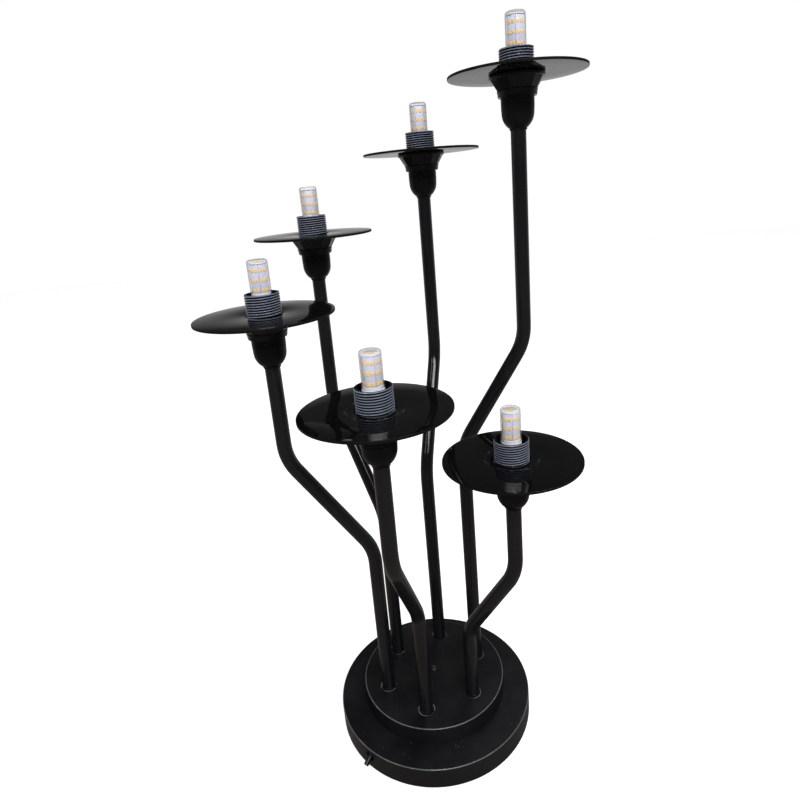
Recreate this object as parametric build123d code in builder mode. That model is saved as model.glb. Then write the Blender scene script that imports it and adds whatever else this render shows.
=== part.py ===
from build123d import *

import os
from math import cos, radians, sin, tan

# A tree lamp. Six bent tubes rise from a two-tier round base, each one higher
# than the next, like a spiral stair. Each carries an upright lampholder, a loose
# round mirror disc that lies on the holder's rim, and an LED capsule bulb.
# Millimetres. The origin is on the floor under the middle of the base,
# +Z is up and the front is at -Y.

# Base
lower_tier_diameter = 190.0
lower_tier_height = 20.0
lower_top_thickness = 3.0
upper_tier_diameter = 140.0
upper_tier_height = 17.5
upper_top_thickness = 4.0
tier_wall = 3.0
tier_edge_break = 0.5
felt_inset = 2.0
felt_stand = 1.5
plate_thickness = 1.5
plate_recess = 0.5
plate_clearance = 0.25
ballast_bore = 124.0
ballast_clearance = 0.5
ballast_channel_width = 22.0
ballast_channel_floor = 3.0
plate_screw_count = 3
plate_screw_circle_diameter = 150.0
first_plate_screw_azimuth = 30.0
plate_screw_diameter = 4.0
plate_screw_head_diameter = 7.0
plate_screw_length = 10.0

# Screw in the middle of the base
centre_screw_diameter = 4.0
centre_screw_head_diameter = 7.0
centre_screw_head_height = 2.2
centre_screw_head_round = 0.7
centre_screw_socket = 2.5
centre_screw_socket_depth = 1.3
centre_boss_diameter = 11.0
centre_boss_depth = 8.0
thread_clearance = 0.1

# Arms
arm_count = 6
foot_circle_diameter = 96.4
first_foot_azimuth = 18.5
tube_diameter = 12.7
tube_bore = 10.3
bend_radius = 50.0
slant = 32.6
seat_depth = 2.0
seat_clearance = 0.15
seat_rim_chamfer = 0.7

# For each arm: the azimuth of its head, the distance of the head from the lamp's
# axis, and the heights of its lower bend and of its disc above the base.
arms = (
    (10.0, 108.0, 239.5, 557.5),
    (75.0, 114.5, 202.0, 508.5),
    (133.5, 116.5, 162.5, 440.0),
    (195.6, 114.7, 157.0, 388.0),
    (256.0, 106.0, 106.5, 327.5),
    (319.5, 100.5, 73.5, 261.5),
)

# Nipples and nuts that hold the tubes at both ends
nipple_diameter = 10.0
nipple_bore = 7.6
nipple_in_tube = 10.0
nipple_beyond_nut = 1.5
nut_width = 14.0
nut_height = 3.0

# Lampholder
sleeve_diameter = 28.0
sleeve_bore = 24.0
sleeve_height = 19.1
rim_diameter = 45.0
rim_thickness = 3.0
rim_round = 0.9
cone_sides = 12
cone_top_radius = 21.3
cone_height = 8.0
ring_diameter = 33.0
ring_height = 5.6
ring_step = 0.3
ring_lip_height = 1.2
insert_shoulder_depth = 11.0
insert_flange_thickness = 2.0
insert_clearance = 0.3
insert_rise = 1.0
spigot_step = 1.3
cup_top_diameter = 27.7
cup_low_diameter = 26.5
cup_depth = 40.5
cup_shoulder_height = 12.0
cup_wall = 1.6
cup_floor = 2.5
cup_groove_height = 0.8
cup_nut_clearance = 0.3
neck_diameter = 14.3
neck_height = 1.5

# Mirror disc
disc_diameter = 112.0
disc_thickness = 2.0
disc_hole = 30.0
disc_edge_round = 0.3

# Bulb with a two-pin foot
bulb_diameter = 16.4
bulb_collar_drop = 1.2
bulb_spigot_height = 2.0
bulb_column_height = 22.5
bulb_column_width = 14.9
bulb_crown_diameter = 12.0
bulb_crown_height = 0.8
board_count = 6
board_gap = 0.6
board_thickness = 0.8
chip_width = 2.7
chip_height = 2.5
chip_thickness = 0.4
chip_spacing = 3.1
chips_in_row = 2
chip_rows = 3
chip_row_pitch = 7.6
first_chip_row = 2.2
crown_chip_count = 4
crown_chip_radius = 2.9
bulb_cover_wall = 0.45
bulb_cover_height = 27.7
bulb_cover_round = 2.2
bulb_spigot_clearance = 0.2
pin_spacing = 9.0
pin_width = 3.0
pin_thickness = 0.8
pin_length = 10.0
pin_play = 0.4
pin_depth_play = 2.0
# Azimuth of one corner of each bulb's six-sided column
bulb_turns = (18.5, 2.0, 10.0, 43.5, 58.5, 31.0)

# Toggle switch in the lower tier's wall
switch_azimuth = 226.5
switch_height = 12.0
switch_width = 12.0
switch_body_height = 9.6
switch_body_depth = 14.0
switch_corner_round = 0.5
switch_bushing_diameter = 10.4
switch_mouth_diameter = 9.4
switch_throat_diameter = 6.6
switch_clearance = 0.25
lever_ball_diameter = 5.2
lever_neck_diameter = 3.2
lever_neck_length = 3.4
lever_diameter = 4.7
lever_length = 10.2
lever_end_chamfer = 0.35
lever_droop = 33.0
pivot_inset = 2.7

# Cord inlet at the back
inlet_azimuth = 90.0
inlet_height = 10.0
inlet_bore = 6.4
inlet_diameter = 9.0
inlet_flange_diameter = 12.0
inlet_flange_thickness = 1.5
inlet_flange_round = 0.5
inlet_behind_wall = 3.0
inlet_clearance = 0.1

# Leads and the block that joins them
lead_diameter = 4.4
lead_hole = 9.0
lead_bend_radius = 7.0
lead_run_height = 9.0
block_diameter = 46.0
block_bore = 15.0
block_height = 11.0

# Heights and radii that follow from the sizes above
lower_radius = lower_tier_diameter / 2
upper_radius = upper_tier_diameter / 2
lower_cavity_radius = lower_radius - tier_wall
wall_foot_z = felt_stand
lower_top_z = wall_foot_z + lower_tier_height
lower_ceiling_z = lower_top_z - lower_top_thickness
upper_top_z = lower_top_z + upper_tier_height
upper_ceiling_z = upper_top_z - upper_top_thickness
plate_bottom_z = wall_foot_z + plate_recess
plate_top_z = plate_bottom_z + plate_thickness
tube_foot_z = upper_top_z - seat_depth
foot_circle_radius = foot_circle_diameter / 2
tube_radius = tube_diameter / 2
nut_hole_radius = nipple_diameter / 2 + thread_clearance
insert_top_radius = sleeve_bore / 2 - insert_clearance
spigot_radius = sleeve_bore / 2 + spigot_step
insert_flange_bottom = -insert_shoulder_depth - insert_flange_thickness
ring_bottom = -rim_thickness - cone_height - ring_height
cup_bottom = -cup_depth

os.makedirs("parts", exist_ok=True)


def finish(piece, name):
    """Label a finished part and write its STEP file."""
    piece.label = name
    export_step(piece, f"parts/{name}.step")


def polar(radius, azimuth, height):
    """Point at a radius and azimuth about the lamp's axis."""
    return Vector(radius * cos(radians(azimuth)), radius * sin(radians(azimuth)), height)


def wall_plane(azimuth, radius, height):
    """Plane that looks straight out of the base's wall, its y axis upwards."""
    outward = polar(1.0, azimuth, 0.0)
    along_wall = polar(1.0, azimuth + 90.0, 0.0)
    return Plane(origin=polar(radius, azimuth, height), x_dir=along_wall, z_dir=outward)


class Arm:
    """Places along one arm: its foot, its two bends and its lampholder."""

    def __init__(self, index):
        azimuth, distance, bend_height, disc_height = arms[index]
        self.number = index + 1
        self.foot_azimuth = first_foot_azimuth + index * 360.0 / arm_count
        self.foot = polar(foot_circle_radius, self.foot_azimuth, 0.0)
        self.head = polar(distance, azimuth, 0.0)
        self.reach = (self.head - self.foot).length
        self.low_bend_z = upper_top_z + bend_height
        self.high_bend_z = self.low_bend_z + self.reach / tan(radians(slant))
        self.rim_z = upper_top_z + disc_height - disc_thickness
        self.tube_top_z = self.rim_z - cup_depth
        self.seat = Location((self.head.X, self.head.Y, self.rim_z))
        self.bulb_seat = self.seat * Rotation(0, 0, bulb_turns[index])

    def plane(self):
        """Upright plane through the foot and the head."""
        sideways = (self.head - self.foot).normalized()
        return Plane(origin=self.foot, x_dir=sideways, z_dir=sideways.cross(Vector(0, 0, 1)))


lamp_arms = [Arm(index) for index in range(arm_count)]
switch_plane = wall_plane(switch_azimuth, lower_radius - pivot_inset, wall_foot_z + switch_height)
inlet_plane = wall_plane(inlet_azimuth, lower_radius, wall_foot_z + inlet_height)


# Lower tier: a turned shell with a boss for the centre screw and holes for the
# leads, the switch and the cord inlet.
with BuildPart() as lower_tier:
    with BuildSketch(Plane.XY.offset(wall_foot_z)):
        Circle(lower_radius)
    extrude(amount=lower_tier_height)
    chamfer(lower_tier.edges().sort_by(Axis.Z)[-1], tier_edge_break)
    with BuildSketch(Plane.XY.offset(wall_foot_z)):
        Circle(lower_cavity_radius)
    extrude(amount=lower_tier_height - lower_top_thickness, mode=Mode.SUBTRACT)
    with BuildSketch(Plane.XY.offset(lower_ceiling_z)):
        Circle(centre_boss_diameter / 2)
    extrude(amount=-centre_boss_depth)
    with BuildSketch(Plane.XY.offset(lower_top_z)):
        Circle(centre_screw_diameter / 2 + thread_clearance)
        with PolarLocations(foot_circle_radius, arm_count, start_angle=first_foot_azimuth):
            Circle(lead_hole / 2)
    extrude(amount=-lower_top_thickness - centre_boss_depth, mode=Mode.SUBTRACT)
    with BuildSketch(switch_plane):
        Circle(switch_bushing_diameter / 2 + thread_clearance)
    extrude(amount=tier_wall, both=True, mode=Mode.SUBTRACT)
    with BuildSketch(inlet_plane):
        Circle(inlet_diameter / 2 + inlet_clearance)
    extrude(amount=-tier_wall - tier_edge_break, mode=Mode.SUBTRACT)
finish(lower_tier.part, "lower_tier")

# Upper tier: a turned shell with a counterbored seat for each tube.
with BuildPart() as upper_tier:
    with BuildSketch(Plane.XY.offset(lower_top_z)):
        Circle(upper_radius)
    extrude(amount=upper_tier_height)
    chamfer(upper_tier.edges().sort_by(Axis.Z)[-1], tier_edge_break)
    with BuildSketch(Plane.XY.offset(lower_top_z)):
        Circle(upper_radius - tier_wall)
    extrude(amount=upper_tier_height - upper_top_thickness, mode=Mode.SUBTRACT)
    with BuildSketch(Plane.XY.offset(upper_top_z)):
        with PolarLocations(foot_circle_radius, arm_count, start_angle=first_foot_azimuth):
            Circle(tube_radius + seat_clearance)
    extrude(amount=-seat_depth, mode=Mode.SUBTRACT)
    rims = upper_tier.edges().filter_by(GeomType.CIRCLE).group_by(Axis.Z)[-1]
    chamfer(rims.filter_by(lambda rim: rim.radius < tube_diameter), seat_rim_chamfer)
    with BuildSketch(Plane.XY.offset(upper_top_z)):
        Circle(centre_screw_diameter / 2 + thread_clearance)
        with PolarLocations(foot_circle_radius, arm_count, start_angle=first_foot_azimuth):
            Circle(nut_hole_radius)
    extrude(amount=-upper_top_thickness, mode=Mode.SUBTRACT)
finish(upper_tier.part, "upper_tier")

# Ballast: a cast ring that fills the lower tier's outer space, with a channel at
# the switch and one at the cord inlet.
with BuildPart() as ballast:
    with BuildSketch(Plane.XY.offset(plate_top_z)):
        Circle(lower_cavity_radius - ballast_clearance)
        Circle(ballast_bore / 2, mode=Mode.SUBTRACT)
    extrude(amount=lower_ceiling_z - plate_top_z)
    with BuildSketch(Plane.XY.offset(plate_top_z + ballast_channel_floor)):
        for azimuth in (switch_azimuth, inlet_azimuth):
            with Locations(Location(polar(lower_radius, azimuth, 0), azimuth)):
                Rectangle(lower_radius, ballast_channel_width)
    extrude(amount=lower_tier_height, mode=Mode.SUBTRACT)
    with BuildSketch(Plane.XY.offset(plate_top_z)):
        with PolarLocations(
            plate_screw_circle_diameter / 2,
            plate_screw_count,
            start_angle=first_plate_screw_azimuth,
        ):
            Circle(plate_screw_diameter / 2 + thread_clearance)
    extrude(amount=plate_screw_length, mode=Mode.SUBTRACT)
finish(ballast.part, "ballast")

# Bottom plate, its countersunk screws and the felt stuck under it.
countersink_depth = (plate_screw_head_diameter - plate_screw_diameter) / 2
with BuildPart() as bottom_plate:
    with BuildSketch(Plane.XY.offset(plate_bottom_z)):
        Circle(lower_cavity_radius - plate_clearance)
    extrude(amount=plate_thickness)
    with Locations(Plane.XY.offset(plate_bottom_z).rotated((180, 0, 0))):
        with PolarLocations(
            plate_screw_circle_diameter / 2,
            plate_screw_count,
            start_angle=-first_plate_screw_azimuth,
        ):
            CounterSinkHole(
                plate_screw_diameter / 2 + thread_clearance,
                plate_screw_head_diameter / 2 + thread_clearance,
            )
finish(bottom_plate.part, "bottom_plate")

with BuildPart() as plate_screws:
    with PolarLocations(
        plate_screw_circle_diameter / 2,
        plate_screw_count,
        start_angle=first_plate_screw_azimuth,
    ):
        with Locations((0, 0, plate_bottom_z)):
            Cone(
                plate_screw_head_diameter / 2,
                plate_screw_diameter / 2,
                countersink_depth,
                align=(Align.CENTER, Align.CENTER, Align.MIN),
            )
        with Locations((0, 0, plate_bottom_z + countersink_depth)):
            Cylinder(
                plate_screw_diameter / 2,
                plate_screw_length - countersink_depth,
                align=(Align.CENTER, Align.CENTER, Align.MIN),
            )
finish(plate_screws.part, "plate_screws")

with BuildPart() as base_felt:
    with BuildSketch():
        Circle(lower_cavity_radius - felt_inset)
    extrude(amount=plate_bottom_z)
finish(base_felt.part, "base_felt")

# Socket-head screw that clamps the two tiers together.
with BuildPart() as centre_screw:
    with BuildSketch(Plane.XY.offset(upper_top_z)):
        Circle(centre_screw_head_diameter / 2)
    extrude(amount=centre_screw_head_height)
    fillet(centre_screw.edges().sort_by(Axis.Z)[-1], centre_screw_head_round)
    with BuildSketch(Plane.XY.offset(upper_top_z + centre_screw_head_height)):
        RegularPolygon(centre_screw_socket / 2, 6, major_radius=False)
    extrude(amount=-centre_screw_socket_depth, mode=Mode.SUBTRACT)
    with BuildSketch(Plane.XY.offset(upper_top_z)):
        Circle(centre_screw_diameter / 2)
    extrude(amount=lower_ceiling_z - centre_boss_depth - upper_top_z)
finish(centre_screw.part, "centre_screw")

# Junction block under the lower tier's top, round the boss, with one mouth for
# each lead.
lead_run_z = wall_foot_z + lead_run_height
with BuildPart() as junction_block:
    with BuildSketch(Plane.XY.offset(lower_ceiling_z)):
        Circle(block_diameter / 2)
        Circle(block_bore / 2, mode=Mode.SUBTRACT)
    extrude(amount=-block_height)
finish(junction_block.part, "junction_block")

# Toggle switch: the body inside, its bushing flush with the wall, and a seat for
# the lever's ball that opens into a flared mouth.
with BuildPart() as switch_body:
    body_front = pivot_inset - tier_wall - switch_clearance
    with BuildSketch(switch_plane.offset(body_front)):
        Rectangle(switch_width, switch_body_height)
    extrude(amount=-switch_body_depth)
    fillet(switch_body.edges().filter_by(Axis.Z), switch_corner_round)
    with BuildSketch(switch_plane.offset(body_front)):
        Circle(switch_bushing_diameter / 2)
    extrude(amount=pivot_inset - body_front)
    with BuildSketch(switch_plane):
        Circle(switch_throat_diameter / 2)
    with BuildSketch(switch_plane.offset(pivot_inset)):
        Circle(switch_mouth_diameter / 2)
    loft(mode=Mode.SUBTRACT)
    with Locations(switch_plane.location):
        Sphere(lever_ball_diameter / 2 + switch_clearance, mode=Mode.SUBTRACT)
finish(switch_body.part, "switch_body")

droop = radians(lever_droop)
lever_plane = Plane(
    origin=switch_plane.origin,
    x_dir=switch_plane.x_dir,
    z_dir=switch_plane.z_dir * cos(droop) - switch_plane.y_dir * sin(droop),
)
with BuildPart() as switch_lever:
    with Locations(lever_plane.location):
        Sphere(lever_ball_diameter / 2)
    with BuildSketch(lever_plane):
        Circle(lever_neck_diameter / 2)
    extrude(amount=lever_neck_length)
    with BuildSketch(lever_plane.offset(lever_neck_length)):
        Circle(lever_diameter / 2)
    extrude(amount=lever_length - lever_neck_length)
    lever_end = switch_lever.faces().sort_by(Axis(lever_plane.origin, lever_plane.z_dir))[-1]
    chamfer(lever_end.edges(), lever_end_chamfer)
finish(switch_lever.part, "switch_lever")

# Bushing where the supply cord enters.
with BuildPart() as inlet_bushing:
    with BuildSketch(inlet_plane):
        Circle(inlet_flange_diameter / 2)
    extrude(amount=inlet_flange_thickness)
    fillet(inlet_bushing.edges().sort_by(Axis.Y)[-1], inlet_flange_round)
    with BuildSketch(inlet_plane):
        Circle(inlet_diameter / 2)
    extrude(amount=-tier_wall - inlet_behind_wall)
    with BuildSketch(inlet_plane.offset(inlet_flange_thickness)):
        Circle(inlet_bore / 2)
    extrude(amount=-inlet_flange_thickness * 2 - tier_wall - inlet_behind_wall, mode=Mode.SUBTRACT)
finish(inlet_bushing.part, "inlet_bushing")

# Tubes: a ring swept up the foot, along the slant and up to the lampholder.
for arm in lamp_arms:
    with BuildPart() as arm_tube:
        with BuildLine(arm.plane()) as centreline:
            FilletPolyline(
                (0, tube_foot_z),
                (0, arm.low_bend_z),
                (arm.reach, arm.high_bend_z),
                (arm.reach, arm.tube_top_z),
                radius=bend_radius,
            )
        with BuildSketch(Plane(origin=centreline.line @ 0, z_dir=centreline.line % 0)):
            Circle(tube_radius)
            Circle(tube_bore / 2, mode=Mode.SUBTRACT)
        sweep()
    finish(arm_tube.part, f"arm_tube_{arm.number}")

# Leads: one down each arm from its insert to the junction block, and a short
# one from the switch.
with BuildPart() as inner_leads:
    for arm in lamp_arms:
        inner_end = polar(block_diameter / 2, arm.foot_azimuth, lead_run_z)
        with BuildLine() as route:
            FilletPolyline(
                arm.head + Vector(0, 0, arm.rim_z + insert_flange_bottom),
                arm.head + Vector(0, 0, arm.high_bend_z),
                arm.foot + Vector(0, 0, arm.low_bend_z),
                arm.foot + Vector(0, 0, lead_run_z),
                inner_end,
                radius=[bend_radius, bend_radius, lead_bend_radius],
            )
        with BuildSketch(Plane(origin=route.line @ 0, z_dir=route.line % 0)):
            Circle(lead_diameter / 2)
        sweep()
    switch_back = pivot_inset - tier_wall - switch_clearance - switch_body_depth
    with BuildSketch(switch_plane.offset(switch_back)):
        Circle(lead_diameter / 2)
    extrude(amount=block_diameter / 2 - (lower_radius - pivot_inset + switch_back))
finish(inner_leads.part, "inner_leads")

# Nipples and nuts under the upper tier's top.
with BuildPart() as arm_nipples:
    with BuildSketch(Plane.XY.offset(tube_foot_z + nipple_in_tube)):
        with PolarLocations(foot_circle_radius, arm_count, start_angle=first_foot_azimuth):
            Circle(nipple_diameter / 2)
            Circle(nipple_bore / 2, mode=Mode.SUBTRACT)
    extrude(amount=upper_ceiling_z - nut_height - nipple_beyond_nut - tube_foot_z - nipple_in_tube)
finish(arm_nipples.part, "arm_nipples")

with BuildPart() as arm_nuts:
    with BuildSketch(Plane.XY.offset(upper_ceiling_z)):
        with PolarLocations(foot_circle_radius, arm_count, start_angle=first_foot_azimuth):
            RegularPolygon(nut_width / 2, 6, major_radius=False)
            Circle(nut_hole_radius, mode=Mode.SUBTRACT)
    extrude(amount=-nut_height)
finish(arm_nuts.part, "arm_nuts")


# Lampholder pieces, drawn with the rim's top at height 0, then set on each arm.

# Nipple through the cup's floor, and its nut.
with BuildPart() as holder_nipple:
    with BuildSketch(Plane.XY.offset(cup_bottom - nipple_in_tube)):
        Circle(nipple_diameter / 2)
        Circle(nipple_bore / 2, mode=Mode.SUBTRACT)
    extrude(amount=nipple_in_tube + cup_floor + nut_height + nipple_beyond_nut)

with BuildPart() as holder_nut:
    with BuildSketch(Plane.XY.offset(cup_bottom + cup_floor)):
        RegularPolygon(nut_width / 2, 6, major_radius=False)
        Circle(nut_hole_radius, mode=Mode.SUBTRACT)
    extrude(amount=nut_height)

# Cup: a short neck round the tube's end, a rounded bottom that runs smoothly into
# a slightly tapered wall, and a narrower spigot that screws into the skirt.
with BuildPart() as holder_cup:
    low_radius = cup_low_diameter / 2
    top_radius = cup_top_diameter / 2
    shoulder_z = cup_bottom + cup_shoulder_height
    shoulder_width = low_radius - neck_diameter / 2
    shoulder_radius = (cup_shoulder_height**2 + shoulder_width**2) / (2 * shoulder_width)
    nut_pocket_radius = nut_width / 2 / cos(radians(30)) + cup_nut_clearance
    with BuildSketch(Plane.XZ):
        with BuildLine():
            Polyline(
                (low_radius, shoulder_z),
                (top_radius, ring_bottom - cup_groove_height),
                (spigot_radius, ring_bottom - cup_groove_height),
                (spigot_radius, insert_flange_bottom),
                (spigot_radius - cup_wall, insert_flange_bottom),
                (low_radius - cup_wall, shoulder_z),
            )
            RadiusArc(
                (low_radius - cup_wall, shoulder_z),
                (nut_pocket_radius, cup_bottom + cup_floor),
                shoulder_radius - cup_wall,
            )
            Polyline(
                (nut_pocket_radius, cup_bottom + cup_floor),
                (nut_hole_radius, cup_bottom + cup_floor),
                (nut_hole_radius, cup_bottom),
                (tube_radius + seat_clearance, cup_bottom),
                (tube_radius + seat_clearance, cup_bottom - neck_height),
                (neck_diameter / 2, cup_bottom - neck_height),
                (neck_diameter / 2, cup_bottom),
            )
            RadiusArc(
                (neck_diameter / 2, cup_bottom),
                (low_radius, shoulder_z),
                -shoulder_radius,
            )
        make_face()
    revolve(axis=Axis.Z)

# Skirt: threaded sleeve, rim, twelve-sided cone, and a ring that narrows in
# steps. The insert's shoulder and the seat for the cup are inside it.
with BuildPart() as holder_skirt:
    sleeve_radius = sleeve_diameter / 2
    bore_radius = sleeve_bore / 2
    ring_radius = ring_diameter / 2
    with BuildSketch(Plane.XZ):
        with BuildLine():
            Polyline(
                (0, sleeve_height),
                (sleeve_radius, sleeve_height),
                (sleeve_radius, 0),
                (rim_diameter / 2, 0),
                (rim_diameter / 2, -rim_thickness),
                (0, -rim_thickness),
                close=True,
            )
        make_face()
    revolve(axis=Axis.Z)
    rim_edges = holder_skirt.edges().filter_by(GeomType.CIRCLE)
    fillet(rim_edges.filter_by(lambda rim: rim.radius > cone_top_radius), rim_round)
    with BuildSketch(Plane.XY.offset(-rim_thickness)):
        RegularPolygon(cone_top_radius, cone_sides)
    with BuildSketch(Plane.XY.offset(-rim_thickness - cone_height)):
        RegularPolygon(ring_radius, cone_sides)
    loft()
    with BuildSketch(Plane.XZ):
        with BuildLine():
            Polyline(
                (0, ring_bottom + ring_height),
                (ring_radius, ring_bottom + ring_height),
                (ring_radius, ring_bottom + ring_height - ring_lip_height),
                (ring_radius - ring_step, ring_bottom + ring_height - ring_lip_height),
                (ring_radius - 2 * ring_step, ring_bottom + ring_lip_height),
                (ring_radius - 3 * ring_step, ring_bottom + ring_lip_height),
                (ring_radius - 3 * ring_step, ring_bottom),
                (0, ring_bottom),
                close=True,
            )
        make_face()
    revolve(axis=Axis.Z)
    with BuildSketch(Plane.XY.offset(sleeve_height)):
        Circle(bore_radius)
    extrude(amount=ring_bottom - sleeve_height, mode=Mode.SUBTRACT)
    with BuildSketch(Plane.XY.offset(-insert_shoulder_depth)):
        Circle(spigot_radius + thread_clearance)
    extrude(amount=ring_bottom + insert_shoulder_depth, mode=Mode.SUBTRACT)

# Ceramic insert: a flange held between the skirt's shoulder and the cup, and two
# slots for the bulb's pins.
with BuildPart() as socket_insert:
    with BuildSketch(Plane.XY.offset(insert_flange_bottom)):
        Circle(spigot_radius)
    extrude(amount=insert_flange_thickness)
    with BuildSketch(Plane.XY.offset(-insert_shoulder_depth)):
        Circle(insert_top_radius)
    extrude(amount=insert_shoulder_depth + insert_rise)
    with BuildSketch(Plane.XY.offset(insert_rise)):
        with GridLocations(pin_spacing, 0, 2, 1):
            Rectangle(pin_thickness + 2 * pin_play, pin_width + 2 * pin_play)
    extrude(amount=-pin_length - pin_depth_play, mode=Mode.SUBTRACT)

# Disc with a plain hole that passes over the sleeve.
with BuildPart() as shade_disc:
    with BuildSketch():
        Circle(disc_diameter / 2)
        Circle(disc_hole / 2, mode=Mode.SUBTRACT)
    extrude(amount=disc_thickness)
    disc_edges = shade_disc.edges().filter_by(GeomType.CIRCLE)
    fillet(disc_edges.filter_by(lambda rim: rim.radius > disc_hole), disc_edge_round)

# Bulb: white foot with two blade pins, a spigot for the cover, a six-sided
# column of boards with rows of chips, and a round crown with four more.
collar_top = sleeve_height - bulb_collar_drop
column_foot = collar_top + bulb_spigot_height
column_top = column_foot + bulb_column_height
crown_top = column_top + bulb_crown_height
cover_bore = bulb_diameter - 2 * bulb_cover_wall
board_step = 360.0 / board_count
board_distance = bulb_column_width / 2 * cos(radians(board_step / 2))
middle_chip_row = column_foot + first_chip_row + chip_row_pitch * (chip_rows - 1) / 2
with BuildPart() as led_bulb:
    with BuildSketch(Plane.XY.offset(insert_rise)):
        Circle(bulb_diameter / 2)
    extrude(amount=collar_top - insert_rise)
    with BuildSketch(Plane.XY.offset(insert_rise)):
        with GridLocations(pin_spacing, 0, 2, 1):
            Rectangle(pin_thickness, pin_width)
    extrude(amount=-pin_length)
    with BuildSketch(Plane.XY.offset(collar_top)):
        Circle(cover_bore / 2 - bulb_spigot_clearance)
    extrude(amount=bulb_spigot_height)
    with BuildSketch(Plane.XY.offset(column_foot)):
        RegularPolygon(bulb_column_width / 2, board_count)
        with PolarLocations(bulb_column_width / 2, board_count):
            Rectangle(2 * board_thickness, board_gap, mode=Mode.SUBTRACT)
    extrude(amount=bulb_column_height)
    with BuildSketch(Plane.XY.offset(column_top)):
        Circle(bulb_crown_diameter / 2)
    extrude(amount=bulb_crown_height)
    for board in range(board_count):
        with BuildSketch(wall_plane(board_step * (board + 0.5), board_distance, middle_chip_row)):
            with GridLocations(chip_spacing, chip_row_pitch, chips_in_row, chip_rows):
                Rectangle(chip_width, chip_height)
        extrude(amount=chip_thickness)
    with BuildSketch(Plane.XY.offset(crown_top)):
        with PolarLocations(crown_chip_radius, crown_chip_count):
            Rectangle(chip_width, chip_height)
    extrude(amount=chip_thickness)

# Clear cover over the column, closed at the top with a rounded shoulder.
with BuildPart() as bulb_cover:
    with BuildSketch(Plane.XY.offset(collar_top)):
        Circle(bulb_diameter / 2)
    extrude(amount=bulb_cover_height)
    fillet(bulb_cover.edges().sort_by(Axis.Z)[-1], bulb_cover_round)
    offset(
        amount=-bulb_cover_wall,
        openings=bulb_cover.faces().sort_by(Axis.Z)[0],
    )

for arm in lamp_arms:
    finish(arm.seat * holder_cup.part, f"holder_cup_{arm.number}")
    finish(arm.seat * holder_skirt.part, f"holder_skirt_{arm.number}")
    finish(arm.bulb_seat * socket_insert.part, f"socket_insert_{arm.number}")
    finish(arm.seat * shade_disc.part, f"shade_disc_{arm.number}")
    finish(arm.bulb_seat * led_bulb.part, f"led_bulb_{arm.number}")
    finish(arm.bulb_seat * bulb_cover.part, f"bulb_cover_{arm.number}")

with BuildPart() as holder_nipples:
    with Locations([arm.seat for arm in lamp_arms]):
        add(holder_nipple.part)
finish(holder_nipples.part, "holder_nipples")

with BuildPart() as holder_nuts:
    with Locations([arm.seat for arm in lamp_arms]):
        add(holder_nut.part)
finish(holder_nuts.part, "holder_nuts")
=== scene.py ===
import math

import bmesh
import bpy
from bpy.props import FloatProperty, FloatVectorProperty, IntProperty, PointerProperty
from mathutils import Matrix, Vector


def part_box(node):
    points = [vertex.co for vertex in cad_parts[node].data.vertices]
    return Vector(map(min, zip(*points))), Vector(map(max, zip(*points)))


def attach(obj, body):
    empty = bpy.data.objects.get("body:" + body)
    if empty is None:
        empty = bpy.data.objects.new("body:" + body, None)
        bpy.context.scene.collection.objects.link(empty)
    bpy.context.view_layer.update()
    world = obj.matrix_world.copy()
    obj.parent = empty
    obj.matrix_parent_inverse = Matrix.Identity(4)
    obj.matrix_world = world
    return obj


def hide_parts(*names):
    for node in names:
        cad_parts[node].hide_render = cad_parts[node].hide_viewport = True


# Looks of a six-armed tree lamp: satin black base and tubes, threaded lampholders,
# black mirror discs and LED capsule bulbs, over the lamp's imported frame.

bl_info = {
    "name": "Tree lamp looks",
    "version": (1, 0, 0),
    "blender": (4, 5, 0),
    "location": "3D View > Sidebar > Tree lamp",
    "description": "Builds the lampholders, discs, bulbs and finishes of a six-armed tree lamp",
    "category": "Object",
}

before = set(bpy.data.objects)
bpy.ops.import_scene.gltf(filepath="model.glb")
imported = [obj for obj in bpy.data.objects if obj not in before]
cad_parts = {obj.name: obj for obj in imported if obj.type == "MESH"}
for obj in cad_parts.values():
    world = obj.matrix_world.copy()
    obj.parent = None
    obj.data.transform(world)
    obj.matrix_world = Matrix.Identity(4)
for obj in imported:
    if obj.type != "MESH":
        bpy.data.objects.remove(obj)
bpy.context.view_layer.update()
ARMS = range(1, 7)
MM = 0.001


# ------------------------------------------------------------------ places from the frame

def head_place(number):
    """Point on a lampholder's axis at the top of its rim, where the disc lies."""
    low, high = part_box(f"shade_disc_{number}")
    return Vector(((low[0] + high[0]) / 2, (low[1] + high[1]) / 2, low[2]))


# ------------------------------------------------------------------ settings

def length(label, text, default):
    """A length property in metres."""
    return FloatProperty(name=label, description=text, default=default, unit="LENGTH", precision=5)


def turn(label, text, default):
    """An angle property, its default given in degrees."""
    return FloatProperty(name=label, description=text, default=math.radians(default), unit="ROTATION")


def amount(label, text, default):
    """A property without a unit."""
    return FloatProperty(name=label, description=text, default=default)


def power(label, text, default):
    """A lamp's power in watts."""
    return FloatProperty(name=label, description=text, default=default, unit="POWER")


def colour(label, text, default):
    """A linear colour property."""
    return FloatVectorProperty(name=label, description=text, default=default, subtype="COLOR", size=3)


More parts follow.
